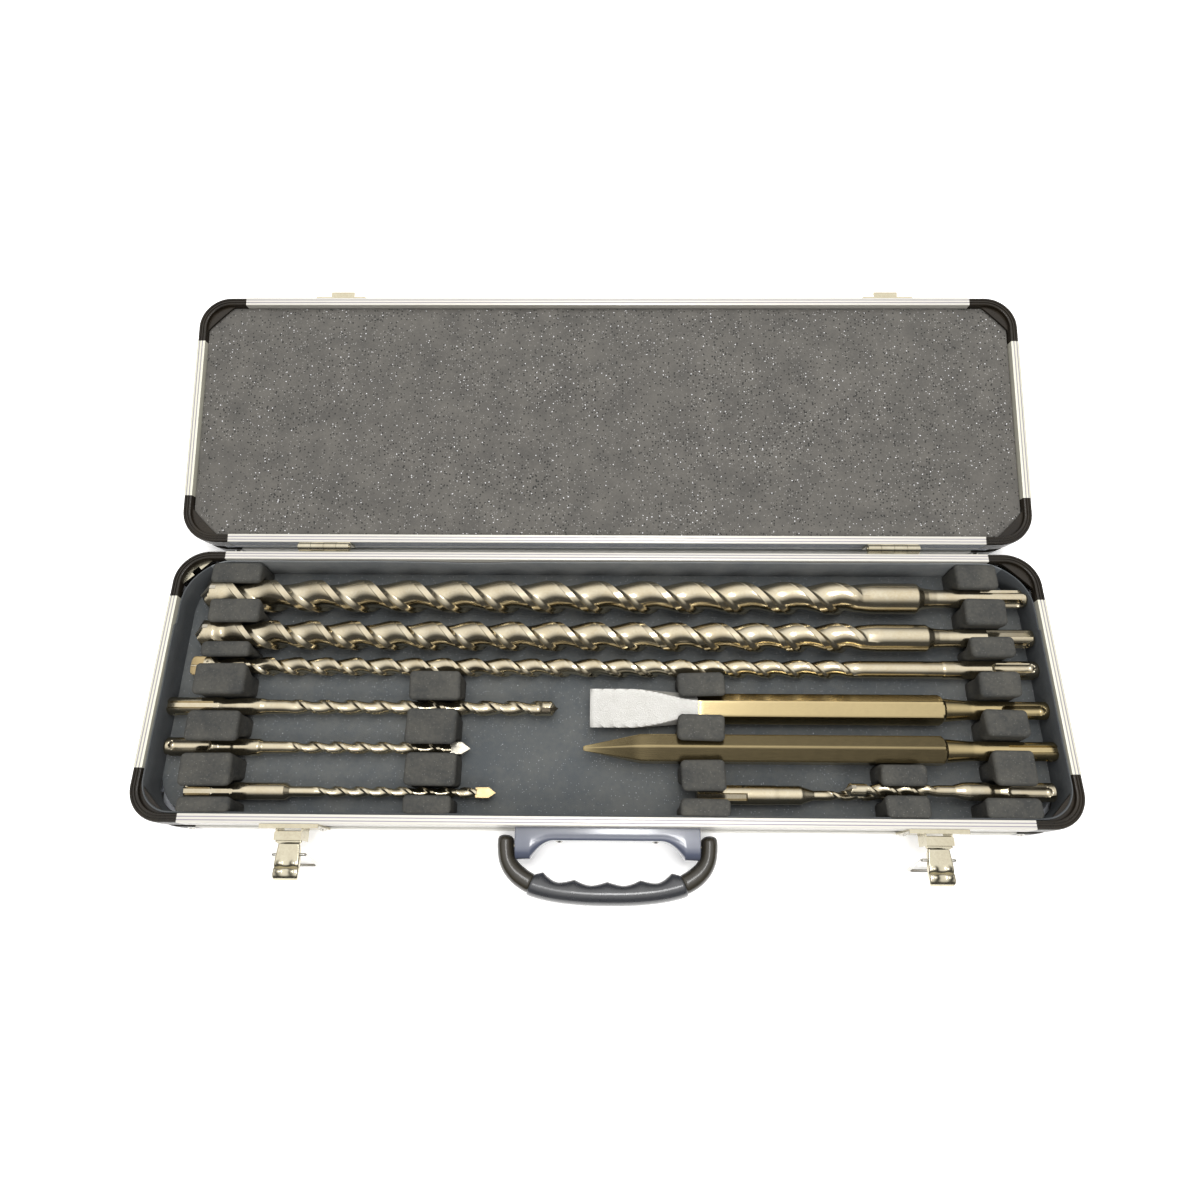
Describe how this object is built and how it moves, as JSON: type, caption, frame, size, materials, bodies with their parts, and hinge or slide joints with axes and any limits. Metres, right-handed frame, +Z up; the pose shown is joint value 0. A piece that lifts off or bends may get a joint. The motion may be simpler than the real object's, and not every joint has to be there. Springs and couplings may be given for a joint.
{
  "type": "drill bit case",
  "caption": "Slim aluminium-framed hard case, lid open on its back hinges, with toggle latches, a swing handle and foam-held hammer drill bits and chisels.",
  "frame": {"origin": "middle of the base's flat underside", "axes": "+X along the case towards its right end seen from the handle side, +Y towards the hinges and the lid, +Z up"},
  "size_m": [0.4716, 0.3346, 0.0607],
  "materials": {
    "aluminium_profile": "satin anodised, fine lengthwise grooves",
    "black_plastic": "glossy black",
    "grip_plastic": "semi-gloss black",
    "bracket_plastic": "glossy blue-grey",
    "board": "fine stucco grain, satin",
    "foam": "closed-cell foam, matt",
    "lid_foam": "foam with light specks, matt",
    "plated_steel": "bright pale-gold plating",
    "tool_steel": "bronze-tinted blasted steel"
  },
  "bodies": {
    "base": {"base_bottom_panel": "board", "base_front_panel": "board", "base_back_panel": "board", "base_side_panels": "board", "base_corner_posts": "black_plastic", "base_rim_front": "aluminium_profile", "base_rim_back": "aluminium_profile", "base_rim_sides": "aluminium_profile", "base_rim_corners": "black_plastic", "base_edge_profiles": "aluminium_profile", "base_bottom_corners": "black_plastic", "base_corner_brackets": "plated_steel", "floor_foam_pad": "foam", "wall_liner": "foam", "foam_blocks_left": "foam", "foam_blocks_mid_left": "foam", "foam_blocks_mid_right": "foam", "foam_blocks_right": "foam", "foam_blocks_front": "foam", "hinge_base_leaves": "plated_steel", "hinge_pins": "plated_steel", "latch_plate_left": "plated_steel", "latch_plate_right": "plated_steel", "latch_pivot_pins": "plated_steel", "handle_bracket": "bracket_plastic", "handle_pins": "plated_steel", "base_rivets": "aluminium_profile"},
    "lid": {"lid_top_panel": "board", "lid_front_panel": "board", "lid_back_panel": "board", "lid_side_panels": "board", "lid_corner_posts": "black_plastic", "lid_rim_front": "aluminium_profile", "lid_rim_back": "aluminium_profile", "lid_rim_sides": "aluminium_profile", "lid_rim_corners": "black_plastic", "lid_edge_profiles": "aluminium_profile", "lid_top_corners": "black_plastic", "lid_foam_pad": "lid_foam", "hinge_lid_leaves": "plated_steel", "catch_left": "plated_steel", "catch_right": "plated_steel", "lid_rivets": "aluminium_profile"},
    "latch_lever_left": {"latch_lever_left": "plated_steel"},
    "latch_lever_right": {"latch_lever_right": "plated_steel"},
    "latch_loop_left": {"latch_loop_left": "plated_steel"},
    "latch_loop_right": {"latch_loop_right": "plated_steel"},
    "handle": {"handle_loop": "black_plastic", "handle_grip": "grip_plastic"},
    "drill_18": {"drill_18": "tool_steel"},
    "drill_16": {"drill_16": "tool_steel"},
    "drill_10": {"drill_10": "tool_steel"},
    "drill_8": {"drill_8": "tool_steel"},
    "drill_6_5": {"drill_6_5": "tool_steel"},
    "drill_5_5": {"drill_5_5": "tool_steel"},
    "drill_5_short": {"drill_5_short": "tool_steel"},
    "drill_6_short": {"drill_6_short": "tool_steel"},
    "flat_chisel": {"flat_chisel": "tool_steel"},
    "point_chisel": {"point_chisel": "tool_steel"}
  },
  "joints": [
    {"name": "lid_hinge", "type": "hinge", "parent": "base", "child": "lid", "pos_m": [0, 0.0752, 0.0302], "axis": [-1, 0, 0], "range_deg": [-168, 0]},
    {"name": "latch_lever_left_pivot", "type": "hinge", "parent": "base", "child": "latch_lever_left", "pos_m": [-0.1535, -0.0775, 0.023], "axis": [-1, 0, 0], "range_deg": [-90, 0]},
    {"name": "latch_loop_left_pivot", "type": "hinge", "parent": "latch_lever_left", "child": "latch_loop_left", "pos_m": [-0.1535, -0.0865, 0.023], "axis": [-1, 0, 0], "range_deg": [0, 265.3]},
    {"name": "latch_lever_right_pivot", "type": "hinge", "parent": "base", "child": "latch_lever_right", "pos_m": [0.162, -0.0775, 0.023], "axis": [-1, 0, 0], "range_deg": [-90, 0]},
    {"name": "latch_loop_right_pivot", "type": "hinge", "parent": "latch_lever_right", "child": "latch_loop_right", "pos_m": [0.162, -0.0865, 0.023], "axis": [-1, 0, 0], "range_deg": [0, 265.3]},
    {"name": "handle_swing", "type": "hinge", "parent": "base", "child": "handle", "pos_m": [0.002, -0.081, 0.015], "axis": [-1, 0, 0], "range_deg": [0, 80]},
    {"name": "drill_18_lift", "type": "slide", "parent": "base", "child": "drill_18", "axis": [0, 0, 1], "range_m": [0, 0.05]},
    {"name": "drill_16_lift", "type": "slide", "parent": "base", "child": "drill_16", "axis": [0, 0, 1], "range_m": [0, 0.05]},
    {"name": "drill_10_lift", "type": "slide", "parent": "base", "child": "drill_10", "axis": [0, 0, 1], "range_m": [0, 0.05]},
    {"name": "drill_8_lift", "type": "slide", "parent": "base", "child": "drill_8", "axis": [0, 0, 1], "range_m": [0, 0.05]},
    {"name": "drill_6_5_lift", "type": "slide", "parent": "base", "child": "drill_6_5", "axis": [0, 0, 1], "range_m": [0, 0.05]},
    {"name": "drill_5_5_lift", "type": "slide", "parent": "base", "child": "drill_5_5", "axis": [0, 0, 1], "range_m": [0, 0.05]},
    {"name": "drill_5_short_draw", "type": "slide", "parent": "base", "child": "drill_5_short", "axis": [-1, 0, 0], "range_m": [0, 0.045]},
    {"name": "drill_6_short_lift", "type": "slide", "parent": "base", "child": "drill_6_short", "axis": [0, 0, 1], "range_m": [0, 0.05]},
    {"name": "flat_chisel_lift", "type": "slide", "parent": "base", "child": "flat_chisel", "axis": [0, 0, 1], "range_m": [0, 0.05]},
    {"name": "point_chisel_lift", "type": "slide", "parent": "base", "child": "point_chisel", "axis": [0, 0, 1], "range_m": [0, 0.05]}
  ],
  "couplings": [
    {"joint": "latch_loop_left_pivot", "follows": "latch_lever_left_pivot", "ratio": -2.9474},
    {"joint": "latch_loop_right_pivot", "follows": "latch_lever_right_pivot", "ratio": -2.9474}
  ]
}
